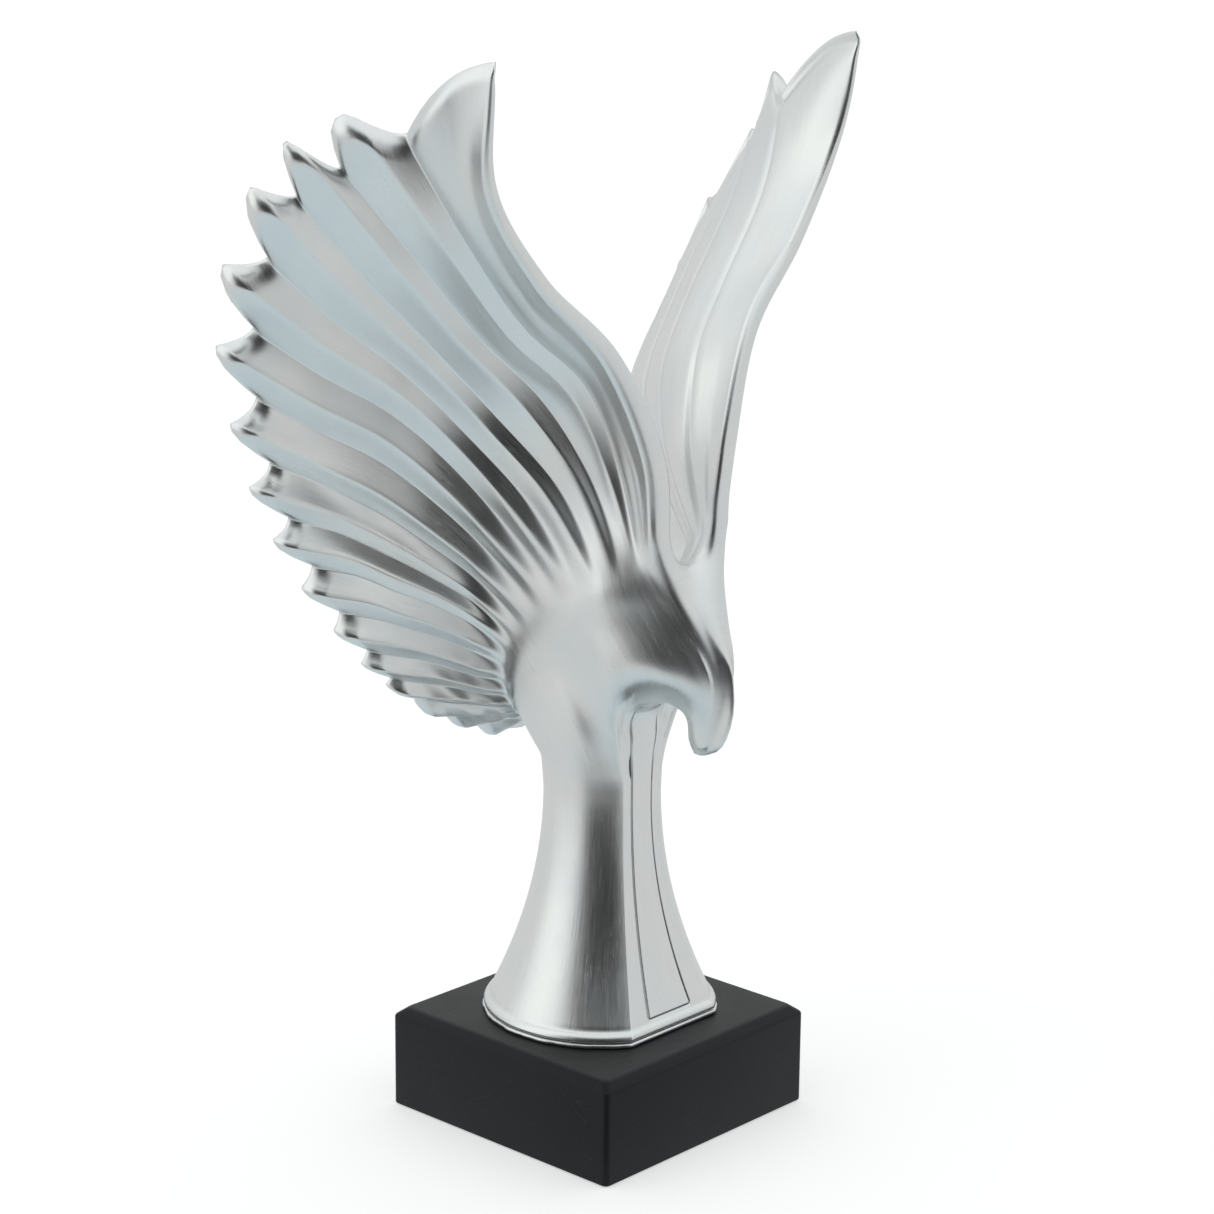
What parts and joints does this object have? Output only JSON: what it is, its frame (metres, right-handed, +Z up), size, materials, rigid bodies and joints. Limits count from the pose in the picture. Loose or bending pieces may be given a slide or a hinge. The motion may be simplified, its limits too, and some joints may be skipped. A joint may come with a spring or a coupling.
{
  "type": "figure trophy",
  "caption": "Satin silver eagle figure with raised, pleated wings and a hooked beak on a flared column, bolted to a square black plinth with bevelled top edges.",
  "frame": {"origin": "middle of the felt's underside, where the trophy stands on a surface", "axes": "+Z up, the eagle's beak and the column's flat front face -Y, +X to the eagle's left wing"},
  "size_m": [0.1964, 0.0975, 0.2908],
  "materials": {
    "silver": "moulded plastic, metallised and brushed to a satin silver",
    "insert_brass": "turned brass",
    "zinc_steel": "zinc plated",
    "black_lacquer": "black satin lacquer",
    "felt": "black felt"
  },
  "bodies": {
    "root": {"eagle_shell": "silver", "column_front_panel": "silver", "foot_plate": "silver", "threaded_insert": "insert_brass", "clamp_bolt": "zinc_steel", "flat_washer": "zinc_steel", "spring_washer": "zinc_steel", "plinth_block": "black_lacquer", "base_felt": "felt"}
  },
  "joints": []
}
